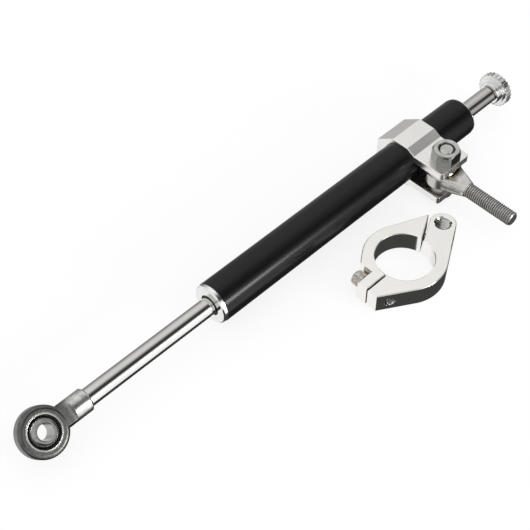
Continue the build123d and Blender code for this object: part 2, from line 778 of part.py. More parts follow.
def fork_screws():
    """The two socket screws that close the fork clamp."""
    screws = []
    for seat, way, length in fork_screw_frames():
        screw = turned_z([(0, -length), (fork_screw_radius - fork_screw_edge, -length),
                          (fork_screw_radius, -length + fork_screw_edge), (fork_screw_radius, 0),
                          (fork_screw_head_radius, 0),
                          (fork_screw_head_radius, fork_screw_head_length - fork_screw_edge),
                          (fork_screw_head_radius - fork_screw_edge, fork_screw_head_length),
                          (0, fork_screw_head_length)])
        socket = Pos(0, 0, fork_screw_head_length - fork_socket_depth) * hex_prism(
            fork_socket_flats, fork_socket_depth + overrun)
        back = Vector(*way) * -1
        base = Vector(*seat) + back * fork_screw_lift
        screws.append(at_fork(Plane(base, z_dir=back).location * (screw - socket)))
    return Compound(children=screws)


def all_parts():
    """Every node of the model by name."""
    front = Gland(tube_start - gland_front_lip, gland_front_lip, 1)
    rear = Gland(gland_end, gland_rear_lip, -1)
    parts = {"outer_tube": outer_tube()}
    for name, gland in (("front", front), ("rear", rear)):
        parts[name + "_gland"] = gland.body()
        parts[name + "_wiper"] = gland.wiper()
        parts[name + "_rod_seal"] = gland.seal()
        parts[name + "_rod_bush"] = gland.bush()
        parts[name + "_gland_o_ring"] = gland.o_ring()
    for make in (piston, piston_ring, piston_clips, piston_rod, adjuster_spindle, spindle_o_ring,
                 adjuster_knob, knob_screw, detent_ball, detent_spring, rod_end_body, eye_race, eye_liner,
                 eye_ball, clamp_bracket, pinch_bolt, pinch_nut, link_washers, link_ball, link_race,
                 link_body, fork_plain_half, fork_eye_half, fork_screws):
        parts[make.__name__] = make()
    return parts


os.makedirs("parts", exist_ok=True)
for node, shape in all_parts().items():
    export_step(shape, "parts/" + node + ".step")
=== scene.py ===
"""Looks of a motorcycle steering damper: finishes, real threads, knurls and studio light.

Everything is in metres in the part's own frame: X runs along the damper from the eye to the
adjuster, Z is up, and the bracket's ears and the threaded link point to -Y. The origin is the
centre of the eye's ball.
"""
import logging
import math
from collections.abc import Callable, Sequence
from dataclasses import dataclass, replace
from enum import Enum

import bmesh
import bpy
from mathutils import Matrix, Vector


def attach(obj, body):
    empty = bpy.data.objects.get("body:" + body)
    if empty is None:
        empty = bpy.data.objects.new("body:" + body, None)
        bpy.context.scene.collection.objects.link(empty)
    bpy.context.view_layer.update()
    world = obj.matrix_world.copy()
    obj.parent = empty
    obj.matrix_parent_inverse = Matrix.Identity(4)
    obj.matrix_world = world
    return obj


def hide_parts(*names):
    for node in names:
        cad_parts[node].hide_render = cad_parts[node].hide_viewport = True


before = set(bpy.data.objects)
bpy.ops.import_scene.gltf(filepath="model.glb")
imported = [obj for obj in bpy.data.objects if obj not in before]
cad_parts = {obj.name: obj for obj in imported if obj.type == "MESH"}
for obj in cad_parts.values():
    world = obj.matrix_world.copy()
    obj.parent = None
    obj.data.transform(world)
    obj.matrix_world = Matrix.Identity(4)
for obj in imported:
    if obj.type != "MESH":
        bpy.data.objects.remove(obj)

LOG = logging.getLogger("steering_damper")
MM = 0.001
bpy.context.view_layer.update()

Triple = tuple[float, float, float]
Stop = tuple[float, float]
Radius = Callable[[float], float]

# Looks: the painted shade in a groove and how soon it starts, how true and softened normals agree on a
# face and on an edge, the part of the fine noise that scuffs edges and how much it scuffs, the span of
# the noise in use, the grain's weight in roughness and in height, and the fine noise's grains for one of
# the grain.
PAINTED_SHADE_COLOUR = (0.03, 0.03, 0.028)
PAINTED_SHADE_RISE = 0.1 * MM
EDGE_FACING = (0.995, 0.9)
SCUFF_SPAN = (0.3, 0.6)
SCUFF_SHARES = (0.25, 0.9)
NOISE_SPAN = (0.3, 0.7)
GRAIN_IN_GLOSS = 0.6
GRAIN_IN_HEIGHT = 0.75
FINE_GRAINS = 2.5

# Meshes: points closer than the gap are one, faces under the area go, steps round the race's lip.
WELD_GAP = 0.002 * MM
SEAM_GAP = 0.001 * MM
SLIVER_AREA = 1e-13
ROUND_STEPS = 10

# Threads: where the crest ends and the groove's floor lies in a pitch, and the crest kept free of painted
# shade.
CREST_END = 0.13
FLOOR_START = 0.44
FLOOR_END = 0.68
THREAD_MARGIN = 0.1 * MM


class Grain(Enum):
    """Way in which the fine marks of a surface run."""

    TURNED = "rings round an axis, as a lathe leaves"
    DRAWN = "streaks along an axis"
    EVEN = "the same in every direction"


@dataclass(frozen=True)
class PaintedShade:
    """Ring-shaped zone round an axis where shade is painted into the colour, as in a thread's grooves.

    Attributes:
        floor: Radius at which the shade is full.
        top: Radius at which it ends.
        inner: Radius inside which there is none.
        shade: Share of the colour that it takes away at its floor.
    """

    floor: float
    top: float
    inner: float = 0.0
    shade: float = 0.9


@dataclass(frozen=True)
class Lay:
    """Axis that the marks of a finish follow.

    Attributes:
        grain: The way in which the marks run.
        centre: A point on the axis, in metres.
        axis: The direction of the axis.
        grooves: Zones of painted shade, such as a thread's or a knurl's.
    """

    grain: Grain = Grain.EVEN
    centre: Triple = (0.0, 0.0, 0.0)
    axis: Triple = (1.0, 0.0, 0.0)
    grooves: tuple[PaintedShade, ...] = ()

    def turn(self) -> Matrix:
        """Rotation that brings the axis onto Z."""
        return Vector(self.axis).normalized().rotation_difference(Vector((0, 0, 1))).to_matrix()


class NodeSheet:
    """Node tree of a material or world, with short calls that add and join nodes."""

    def __init__(self, tree: bpy.types.NodeTree) -> None:
        """Start an empty tree.

        Args:
            tree: The tree to fill.
        """
        self.tree = tree
        tree.nodes.clear()

    def add(self, kind: str, inputs: dict[str, object] | None = None, **settings: object) -> bpy.types.Node:
        """Add one node.

        Args:
            kind: The node's type name without its leading "ShaderNode".
            inputs: Values or sockets for its inputs, by input name.
            settings: Values for its own properties.

        Returns:
            The new node.
        """
        node = self.tree.nodes.new("ShaderNode" + kind)
        for name, value in settings.items():
            setattr(node, name, value)
        for name, value in (inputs or {}).items():
            self.feed(node.inputs[name], value)
        return node

    def feed(self, socket: bpy.types.NodeSocket, value: object) -> None:
        """Give a socket a value, or link another socket to it.

        Args:
            socket: The input to fill.
            value: A number, a colour or an output socket.
        """
        if isinstance(value, bpy.types.NodeSocket):
            self.tree.links.new(value, socket)
        else:
            socket.default_value = value

    def math(self, operation: str, *values: object, clamp: bool = False) -> bpy.types.NodeSocket:
        """Work one sum on numbers or sockets.

        Args:
            operation: The name of the Math node's operation.
            values: Its inputs in order.
            clamp: Whether the result is kept between 0 and 1.

        Returns:
            The result's socket.
        """
        node = self.add("Math", operation=operation, use_clamp=clamp)
        for socket, value in zip(node.inputs, values):
            self.feed(socket, value)
        return node.outputs[0]

    def weigh(self, share: float, first: object, second: object) -> bpy.types.NodeSocket:
        """Add a share of one number to the rest of another."""
        rest = self.math("MULTIPLY", second, 1.0 - share)
        return self.math("ADD", self.math("MULTIPLY", first, share), rest)

    def between(self, value: object, low: float, high: float, out_low: float = 0.0,
                out_high: float = 1.0) -> bpy.types.NodeSocket:
        """Map a range onto another, smoothly and without passing its ends.

        Args:
            value: The number or socket to map.
            low: The start of the range.
            high: The end of the range.
            out_low: What the start becomes.
            out_high: What the end becomes.

        Returns:
            The mapped socket.
        """
        ends = {"Value": value, "From Min": low, "From Max": high, "To Min": out_low, "To Max": out_high}
        return self.add("MapRange", ends, interpolation_type="SMOOTHSTEP").outputs["Result"]

    def mix(self, share: object, first: object, second: object) -> bpy.types.NodeSocket:
        """Blend two colours.

        Args:
            share: How much of the second colour is taken.
            first: The first colour.
            second: The second colour.

        Returns:
            The blended colour's socket.
        """
        # A colour mix takes its share at input 0 and its colours at 6 and 7, and gives output 2.
        node = self.add("Mix", data_type="RGBA")
        self.feed(node.inputs[0], share)
        self.feed(node.inputs[6], first)
        self.feed(node.inputs[7], second)
        return node.outputs[2]

    def noise(self, place: object, scale: float, detail: float, rough: float = 0.5) -> bpy.types.NodeSocket:
        """Soft noise between 0 and 1.

        Args:
            place: The socket of the place that the noise is read at.
            scale: Grains in a metre.
            detail: Octaves.
            rough: Weight of the finer octaves.

        Returns:
            The noise's socket.
        """
        settings = {"Vector": place, "Scale": scale, "Detail": detail, "Roughness": rough}
        return self.add("TexNoise", settings).outputs[0]

    def grey_ramp(self, share: object, stops: Sequence[Stop]) -> bpy.types.NodeSocket:
        """Grey that follows a value through named stops.

        Args:
            share: The value, between 0 and 1.
            stops: Places and greys in order.

        Returns:
            The grey's socket.
        """
        ramp = self.add("ValToRGB", {"Fac": share})
        band = ramp.color_ramp
        band.interpolation = "EASE"
        while len(band.elements) < len(stops):
            band.elements.new(0.5)
        for element, (place, grey) in zip(band.elements, stops):
            element.position = place
            element.color = (grey, grey, grey, 1.0)
        return ramp.outputs[0]


@dataclass(frozen=True)
class Finish:
    """A surface finish, made into one material for each lay that it is used with.

    Attributes:
        name: The finish in plain words, joined with underscores.
        slot: The record's material slot that it belongs to; not used.
        colour: Main colour, linear.
        second: Colour that it drifts to in patches.
        metallic: 1 for bare metal and 0 for rubber, plastic or paint.
        roughness: Lowest and highest roughness.
        patch_size: Size of the patches in metres.
        grain_size: Size of the finest marks in metres.
        bump: Height of the marks in metres.
        edge: Colour of worn edges, or None where edges don't wear.
        edge_width: Width of the softened edges in metres.
        stretch: How much longer than wide the marks are.
        anisotropic: Strength of the stretched highlight.
        gloss: Strength of the reflection where the surface isn't metal, 0.5 being plain plastic.
        contrast: Width of the step between the two colours, small for sharp patches.
        turns: How often the turned marks change round the axis.
    """

    name: str
    slot: str
    colour: Triple
    second: Triple
    metallic: float = 1.0
    roughness: tuple[float, float] = (0.2, 0.3)
    patch_size: float = 0.012
    grain_size: float = 0.0003
    bump: float = 0.000004
    edge: Triple | None = None
    edge_width: float = 0.00018
    stretch: float = 14.0
    anisotropic: float = 0.0
    gloss: float = 0.5
    contrast: float = 0.3
    turns: float = 1.0

    def place(self, sheet: NodeSheet, lay: Lay) -> tuple[bpy.types.NodeSocket, ...]:
        """Places for the patches and for the fine marks.

        Args:
            sheet: The material's tree.
            lay: The axis of the marks.

        Returns:
            The socket for the patches, the one for the marks, and the distance from the axis.
        """
        turn = lay.turn()
        shift = turn @ Vector(lay.centre) * -1
        seat = sheet.add("TexCoord").outputs["Object"]
        move = {"Vector": seat, "Location": tuple(shift), "Rotation": tuple(turn.to_euler())}
        plain = sheet.add("Mapping", move).outputs[0]
        split = sheet.add("SeparateXYZ", {"Vector": plain}).outputs
        reach = sheet.math("SQRT", sheet.math("ADD", sheet.math("MULTIPLY", split[0], split[0]),
                                              sheet.math("MULTIPLY", split[1], split[1])))
        if lay.grain is Grain.EVEN:
            return plain, plain, reach
        if lay.grain is Grain.DRAWN:
            drawn = sheet.add("Mapping", {"Vector": plain, "Scale": (1.0, 1.0, 1.0 / self.stretch)})
            return plain, drawn.outputs[0], reach
        turned = sheet.math("ARCTAN2", split[1], split[0])
        angle = sheet.math("MULTIPLY", turned, self.grain_size * self.turns)
        rings = sheet.add("CombineXYZ", {"X": reach, "Y": split[2], "Z": angle})
        return plain, rings.outputs[0], reach

    def edge_share(self, sheet: NodeSheet, soft: bpy.types.NodeSocket) -> bpy.types.NodeSocket:
        """How near a point lies to an outer edge.

        Args:
            sheet: The material's tree.
            soft: The softened normal.

        Returns:
            A socket that is 0 on a face and 1 on an edge.
        """
        normal = sheet.add("NewGeometry").outputs["Normal"]
        dot = sheet.add("VectorMath", operation="DOT_PRODUCT")
        sheet.feed(dot.inputs[0], normal)
        sheet.feed(dot.inputs[1], soft)
        return sheet.between(dot.outputs["Value"], *EDGE_FACING)

    def material(self, lay: Lay = Lay(), part: str = "") -> bpy.types.Material:
        """Make the material, or find it if it is there already.

        Args:
            lay: The axis of the marks.
            part: The piece that it is for, where its lay is the piece's own.

        Returns:
            The material.
        """
        name = "-".join(word for word in (self.name, lay.grain.name.lower(), part) if word)
        if name in bpy.data.materials:
            return bpy.data.materials[name]
        made = bpy.data.materials.new(name)
        made.use_nodes = True
        made.diffuse_color = (*self.colour, 1.0)
        sheet = NodeSheet(made.node_tree)
        plain, marks, reach = self.place(sheet, lay)
        patches = sheet.noise(plain, 1.0 / self.patch_size, detail=4.0, rough=0.6)
        grain = sheet.noise(marks, 1.0 / self.grain_size, detail=2.0)
        fine = sheet.noise(plain, FINE_GRAINS / self.grain_size, detail=2.0)
        soft = sheet.add("Bevel", {"Radius": self.edge_width}, samples=4).outputs[0]
        share = sheet.between(patches, 0.5 - self.contrast / 2, 0.5 + self.contrast / 2)
        colour = sheet.mix(share, (*self.colour, 1.0), (*self.second, 1.0))
        if self.edge is not None:
            scuffs = sheet.between(fine, *SCUFF_SPAN, *SCUFF_SHARES)
            worn = sheet.math("MULTIPLY", self.edge_share(sheet, soft), scuffs)
            colour = sheet.mix(worn, colour, (*self.edge, 1.0))
        # Painted shade: each zone darkens the colour by its distance from the lay's axis.
        for groove in lay.grooves:
            shade = sheet.between(reach, groove.floor, groove.top, groove.shade, 0.0)
            if groove.inner:
                rise = sheet.between(reach, groove.inner - PAINTED_SHADE_RISE, groove.inner)
                shade = sheet.math("MULTIPLY", shade, rise)
            colour = sheet.mix(shade, colour, (*PAINTED_SHADE_COLOUR, 1.0))
        low, high = self.roughness
        spread = sheet.weigh(GRAIN_IN_GLOSS, grain, patches)
        roughness = sheet.between(spread, *NOISE_SPAN, low, high)
        height = sheet.weigh(GRAIN_IN_HEIGHT, grain, fine)
        bump = sheet.add("Bump", {"Height": height, "Strength": 1.0, "Distance": self.bump, "Normal": soft})
        shader = sheet.add("BsdfPrincipled", {
            "Base Color": colour, "Roughness": roughness, "Metallic": self.metallic,
            "Normal": bump.outputs[0], "Specular IOR Level": self.gloss, "Anisotropic": self.anisotropic})
        if self.anisotropic and lay.grain is Grain.TURNED:
            letter = "XYZ"[max(range(3), key=lambda index: abs(lay.axis[index]))]
            tangent = sheet.add("Tangent", direction_type="RADIAL", axis=letter)
            sheet.feed(shader.inputs["Tangent"], tangent.outputs[0])
        out = sheet.add("OutputMaterial")
        sheet.feed(out.inputs["Surface"], shader.outputs[0])
        return made


BLACK_ANODISED = Finish(
    "black_anodised", "black_anodised", (0.0045, 0.0045, 0.005), (0.006, 0.006, 0.0065), metallic=0.0,
    roughness=(0.21, 0.24), patch_size=30.0 * MM, grain_size=0.5 * MM, bump=0.00015 * MM,
    edge=(0.03, 0.03, 0.032), edge_width=0.15 * MM, stretch=40.0, gloss=0.25)
TURNED_ALUMINIUM = Finish(
    "turned_aluminium", "bare_aluminium", (0.87, 0.87, 0.86), (0.82, 0.82, 0.81), roughness=(0.08, 0.15),
    patch_size=10.0 * MM, grain_size=0.25 * MM, bump=0.0012 * MM, edge=(0.92, 0.92, 0.91),
    edge_width=0.2 * MM, stretch=20.0, anisotropic=0.35)
POLISHED_ALUMINIUM = Finish(
    "polished_aluminium", "silver_anodised", (0.84, 0.84, 0.83), (0.78, 0.78, 0.77), roughness=(0.05, 0.1),
    patch_size=8.0 * MM, grain_size=0.25 * MM, bump=0.0008 * MM, edge=(0.92, 0.92, 0.91),
    edge_width=0.25 * MM, stretch=20.0)
SILVER_ANODISED = Finish(
    "silver_anodised", "silver_anodised", (0.87, 0.86, 0.83), (0.84, 0.83, 0.8), roughness=(0.24, 0.3),
    patch_size=20.0 * MM, bump=0.001 * MM, edge=(0.93, 0.92, 0.9), edge_width=0.45 * MM, stretch=24.0)
PALE_ANODISED = Finish(
    "pale_anodised", "silver_anodised", (0.95, 0.94, 0.9), (0.92, 0.91, 0.87), roughness=(0.09, 0.13),
    patch_size=20.0 * MM, bump=0.001 * MM, edge=(0.96, 0.95, 0.92), edge_width=0.2 * MM, stretch=24.0)
HARD_CHROME = Finish(
    "hard_chrome", "chromed_rod", (0.62, 0.61, 0.585), (0.59, 0.58, 0.555), roughness=(0.04, 0.08),
    patch_size=20.0 * MM, grain_size=0.2 * MM, bump=0.0005 * MM, edge_width=0.1 * MM, stretch=20.0)
EYE_STEEL = Finish(
    "forged_eye_steel", "rod_end_steel", (0.7, 0.7, 0.67), (0.46, 0.46, 0.44), roughness=(0.25, 0.34),
    patch_size=2.2 * MM, grain_size=0.8 * MM, bump=0.008 * MM, edge=(0.8, 0.8, 0.77), edge_width=0.4 * MM,
    stretch=6.0, turns=3.0)
LINK_STEEL = Finish(
    "plated_link_steel", "rod_end_steel", (0.66, 0.65, 0.62), (0.58, 0.57, 0.54), roughness=(0.24, 0.3),
    patch_size=6.0 * MM, grain_size=0.6 * MM, bump=0.001 * MM, edge=(0.84, 0.82, 0.78), edge_width=0.3 * MM,
    stretch=6.0)
STUD_STEEL = Finish(
    "plated_stud_steel", "rod_end_steel", (0.62, 0.61, 0.58), (0.52, 0.51, 0.48), roughness=(0.34, 0.42),
    patch_size=4.0 * MM, grain_size=0.5 * MM, bump=0.001 * MM, edge=(0.74, 0.73, 0.7), edge_width=0.1 * MM,
    stretch=6.0)
BALL_STEEL = Finish(
    "ground_ball_steel", "ball_steel", (0.37, 0.37, 0.36), (0.28, 0.28, 0.27), roughness=(0.13, 0.2),
    patch_size=8.0 * MM, grain_size=0.2 * MM, bump=0.0005 * MM, edge_width=0.15 * MM, stretch=12.0)
RACE_STEEL = Finish(
    "race_steel", "race_steel", (0.86, 0.86, 0.84), (0.74, 0.74, 0.72), roughness=(0.14, 0.24),
    patch_size=6.0 * MM, grain_size=0.2 * MM, bump=0.002 * MM, edge=(0.9, 0.9, 0.88), edge_width=0.2 * MM,
    stretch=12.0)
RACE_BRASS = Finish(
    "race_brass", "race_brass", (0.48, 0.4, 0.26), (0.39, 0.32, 0.2), roughness=(0.18, 0.3),
    patch_size=6.0 * MM, grain_size=0.2 * MM, bump=0.002 * MM, edge=(0.62, 0.55, 0.42), edge_width=0.2 * MM,
    stretch=12.0)
LINER_BLACK = Finish(
    "liner_fabric", "liner_black", (0.02, 0.02, 0.02), (0.03, 0.03, 0.028), metallic=0.0,
    roughness=(0.55, 0.7), patch_size=4.0 * MM, grain_size=0.25 * MM, bump=0.01 * MM)
SEAL_RUBBER = Finish(
    "seal_rubber", "seal_rubber", (0.011, 0.011, 0.011), (0.016, 0.016, 0.016), metallic=0.0,
    roughness=(0.42, 0.58), patch_size=5.0 * MM, bump=0.006 * MM)
BUSH_BRONZE = Finish(
    "bush_bronze", "bush_bronze", (0.5, 0.33, 0.16), (0.42, 0.26, 0.12), roughness=(0.25, 0.4),
    patch_size=6.0 * MM, grain_size=0.25 * MM)
RING_PLASTIC = Finish(
    "ring_plastic", "ring_plastic", (0.3, 0.22, 0.12), (0.26, 0.19, 0.1), metallic=0.0,
    roughness=(0.4, 0.55), patch_size=6.0 * MM, bump=0.003 * MM)
ZINC_STEEL = Finish(
    "zinc_plated_steel", "fastener_steel", (0.66, 0.66, 0.64), (0.48, 0.48, 0.46), roughness=(0.1, 0.18),
    patch_size=5.0 * MM, grain_size=0.35 * MM, bump=0.0012 * MM, edge=(0.84, 0.84, 0.82),
    edge_width=0.35 * MM, stretch=8.0)
SCREW_STEEL = Finish(
    "clamp_screw_steel", "fastener_steel", (0.84, 0.79, 0.74), (0.42, 0.38, 0.34), roughness=(0.12, 0.22),
    patch_size=1.6 * MM, bump=0.002 * MM, edge=(0.78, 0.75, 0.7), edge_width=0.2 * MM, stretch=8.0)
SPRING_WIRE = Finish(
    "spring_wire", "spring_steel", (0.55, 0.55, 0.55), (0.44, 0.44, 0.44), patch_size=3.0 * MM,
    grain_size=0.1 * MM, bump=0.002 * MM)

LINK_AXIS = (253.1 * MM, -21.1 * MM)
DAMPER_TURNED = Lay(Grain.TURNED)
DAMPER_DRAWN = Lay(Grain.DRAWN)
EVEN = Lay()


@dataclass(frozen=True)
class Dressing:
    """One finish on some of the part's nodes.

    Attributes:
        finish: The finish.
        nodes: The names of the nodes that wear it.
        lay: The axis of its marks.
        part: A word that keeps the material apart where the lay is the piece's own.
    """

    finish: Finish
    nodes: tuple[str, ...]
    lay: Lay = EVEN
    part: str = ""

    def apply(self) -> None:
        """Put the finish on every node in the list."""
        material = self.finish.material(self.lay, self.part)
        for name in self.nodes:
            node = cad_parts[name]
            if not node.material_slots:
                node.data.materials.append(material)
            for slot in node.material_slots:
                slot.material = material


class SubAssembly:
    """A group of pieces that is dressed and built together."""

    title = "sub-assembly"

    def dressings(self) -> list[Dressing]:
        """Finishes of the group's nodes."""
        return []

    def build(self) -> list[bpy.types.Object]:
        """Pieces that the group adds."""
        return []

    def make(self) -> None:
        """Dress the nodes, build the pieces and report both."""
        for dressing in self.dressings():
            dressing.apply()
            LOG.info("%s: %s on %s", self.title, dressing.finish.name, ", ".join(dressing.nodes))
        for piece in self.build():
            LOG.info("%s: built %s with %d faces", self.title, piece.name, len(piece.data.polygons))


@dataclass
class PieceMesh:
    """Points and faces of a piece, gathered before its object is made.

    Attributes:
        name: The piece's name.
        columns: Points round each ring.
    """

    name: str
    columns: int = 72

    def __post_init__(self) -> None:
        """Start with no points and no faces."""
        self.mesh = bmesh.new()
        self.rings: list[list[bmesh.types.BMVert]] = []

    def angle(self, column: int) -> float:
        """Angle of a column in radians."""
        return 2 * math.pi * column / self.columns

    def point(self, reach: float, angle: float, height: float) -> bmesh.types.BMVert:
        """Add a point at a distance from Z, an angle and a height."""
        return self.mesh.verts.new((reach * math.cos(angle), reach * math.sin(angle), height))

    def ring(self, height: float, radius: float | Radius) -> None:
        """Add a ring and join it to the one before.

        Args:
            height: Its place along Z in metres.
            radius: Its radius, or the radius at each angle.
        """
        points = []
        for column in range(self.columns):
            angle = self.angle(column)
            reach = radius(angle) if callable(radius) else radius
            points.append(self.point(reach, angle, height))
        if self.rings:
            last = self.rings[-1]
            for column in range(self.columns):
                after = (column + 1) % self.columns
                self.mesh.faces.new((last[column], last[after], points[after], points[column]))
        self.rings.append(points)

    def cap(self, ring: int) -> None:
        """Close a ring with one flat face."""
        self.mesh.faces.new(self.rings[ring])

    def join_ends(self) -> None:
        """Join the last ring to the first, which closes a ring-shaped piece."""
        first, last = self.rings[0], self.rings[-1]
        for column in range(self.columns):
            after = (column + 1) % self.columns
            self.mesh.faces.new((last[column], last[after], first[after], first[column]))

    def thread(self, start: float, end: float, form: "ThreadForm") -> None:
        """Add a thread whose ridge winds up from one height to another, closed at both ends.

        Args:
            start: The height at which it starts.
            end: The height at which it ends.
            form: Its pitch and radii.
        """
        turns = math.ceil((end - start) / form.pitch) + 2
        rows = [(turn + phase) * form.pitch for turn in range(-1, turns) for phase in form.phases()]
        grid = []
        for row, base in enumerate(rows):
            line = []
            for column in range(self.columns + 1):
                rise = column / self.columns
                height = min(max(start + base + form.pitch * (rise - 1), start), end)
                reach = form.radius_at(height, (height - start) / form.pitch - rise, start, end)
                line.append(self.point(reach, self.angle(column), height))
            if row:
                last = grid[-1]
                for column in range(self.columns):
                    self.mesh.faces.new((last[column], last[column + 1], line[column + 1], line[column]))
            grid.append(line)
        bmesh.ops.remove_doubles(self.mesh, verts=self.mesh.verts, dist=WELD_GAP)
        flat = [face for face in self.mesh.faces if face.calc_area() < SLIVER_AREA]
        bmesh.ops.delete(self.mesh, geom=flat, context="FACES")
        loose = [vert for vert in self.mesh.verts if not vert.link_faces]
        bmesh.ops.delete(self.mesh, geom=loose, context="VERTS")
        if form.closed:
            self.close()

    def cut(self, point: Vector, outward: Triple) -> None:
        """Cut off everything beyond a plane through a point."""
        geometry = self.mesh.verts[:] + self.mesh.edges[:] + self.mesh.faces[:]
        bmesh.ops.bisect_plane(self.mesh, geom=geometry, plane_co=point, plane_no=outward, clear_outer=True)

    def close(self) -> None:
        """Fill every open rim with one face."""
        rim = [edge for edge in self.mesh.edges if edge.is_boundary]
        bmesh.ops.holes_fill(self.mesh, edges=rim, sides=0)

    def place(self, matrix: Matrix) -> None:
        """Move all points by a matrix."""
        bmesh.ops.transform(self.mesh, matrix=matrix, verts=self.mesh.verts)

    def lay_down(self, foot: Vector) -> None:
        """Stand the piece on a foot and turn its top to -Y."""
        self.place(Matrix.Translation(foot) @ Matrix.Rotation(math.radians(90), 4, "X"))

    def finished(self, finish: Finish, lay: Lay, body: str, part: str = "", sharp: float = 32.0,
                 inward: bool = False) -> bpy.types.Object:
        """Turn the mesh into an object that rides on a body.

        Args:
            finish: The finish that it wears.
            lay: The axis of the finish's marks.
            body: The body that carries it.
            part: A word that keeps its material apart.
            sharp: Angle in degrees over which an edge stays sharp.
            inward: Whether the faces look at the axis.

        Returns:
            The object.
        """
        bmesh.ops.recalc_face_normals(self.mesh, faces=self.mesh.faces)
        if inward:
            bmesh.ops.reverse_faces(self.mesh, faces=self.mesh.faces)
        data = bpy.data.meshes.new(self.name)
        self.mesh.to_mesh(data)
        self.mesh.free()
        data.shade_smooth()
        data.set_sharp_from_angle(angle=math.radians(sharp))
        piece = bpy.data.objects.new(self.name, data)
        bpy.context.scene.collection.objects.link(piece)
        data.materials.append(finish.material(lay, part))
        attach(piece, body)
        return piece


@dataclass(frozen=True)
class ThreadForm:
    """Shape of a metric thread.

    Attributes:
        pitch: Distance between turns.
        crest: Radius of the ridge's top.
        root: Radius of the groove's floor.
        start_bevel: Height over which it tapers at its start.
        end_bevel: Height over which it tapers at its end.
        fade: Height over which the groove runs out at its start, or 0.
        closed: Whether both ends are filled.
    """

    pitch: float
    crest: float
    root: float
    start_bevel: float = 0.0
    end_bevel: float = 0.0
    fade: float = 0.0
    closed: bool = True

    def phases(self) -> tuple[float, ...]:
        """Places of the rows of points within one pitch: its corners and points between them."""
        return (0.0, CREST_END, 0.28, FLOOR_START, 0.52, FLOOR_END, 0.84)

    def depth_share(self, phase: float) -> float:
        """Share of the depth at a place within the pitch, from 0 on the crest to 1 in the groove."""
        place = phase % 1.0
        if place <= CREST_END:
            return 0.0
        if place < FLOOR_START:
            return (place - CREST_END) / (FLOOR_START - CREST_END)
        if place <= FLOOR_END:
            return 1.0
        return (1.0 - place) / (1.0 - FLOOR_END)

    def radius_at(self, height: float, phase: float, start: float, end: float) -> float:
        """Radius of the thread at a height.

        Args:
            height: The height.
            phase: The place within the pitch.
            start: Where the thread starts.
            end: Where it ends.

        Returns:
            The radius in metres.
        """
        share = self.depth_share(phase)
        if self.fade:
            share *= min(1.0, max(0.0, (height - start) / self.fade))
        reach = self.crest + (self.root - self.crest) * share
        slope = 1.0 if self.crest > self.root else -1.0
        for bevel, gone in ((self.start_bevel, height - start), (self.end_bevel, end - height)):
            if bevel and gone < bevel:
                limit = self.crest - slope * (bevel - gone)
                reach = min(reach, limit) if slope > 0 else max(reach, limit)
        return reach


class DamperTube(SubAssembly):
    """Black tube with the piston inside it."""

    title = "tube"

    def dressings(self) -> list[Dressing]:
        """Finishes of the tube and the piston."""
        return [
            Dressing(BLACK_ANODISED, ("outer_tube",), DAMPER_DRAWN),
            Dressing(TURNED_ALUMINIUM, ("piston",), DAMPER_TURNED),
            Dressing(RING_PLASTIC, ("piston_ring",), DAMPER_TURNED),
            Dressing(SPRING_WIRE, ("piston_clips",), DAMPER_TURNED),
        ]


class Glands(SubAssembly):
    """Both ends of the tube, with their wipers, seals, bushes and rings."""

    title = "glands"

    def dressings(self) -> list[Dressing]:
        """Finishes of the glands and what they hold."""
        both = ("front_", "rear_")
        return [
            Dressing(TURNED_ALUMINIUM, tuple(end + "gland" for end in both), DAMPER_TURNED),
            Dressing(SEAL_RUBBER, tuple(end + word for end in both for word in
                                        ("wiper", "rod_seal", "gland_o_ring")), DAMPER_TURNED),
            Dressing(BUSH_BRONZE, tuple(end + "rod_bush" for end in both), DAMPER_TURNED),
        ]


class ThroughRod(SubAssembly):
    """Chromed rod with its click ball and spring."""

    title = "rod"

    def dressings(self) -> list[Dressing]:
        """Finishes of the rod and the detent."""
        return [
            Dressing(HARD_CHROME, ("piston_rod",), DAMPER_TURNED),
            Dressing(BALL_STEEL, ("detent_ball",)),
            Dressing(SPRING_WIRE, ("detent_spring",)),
        ]


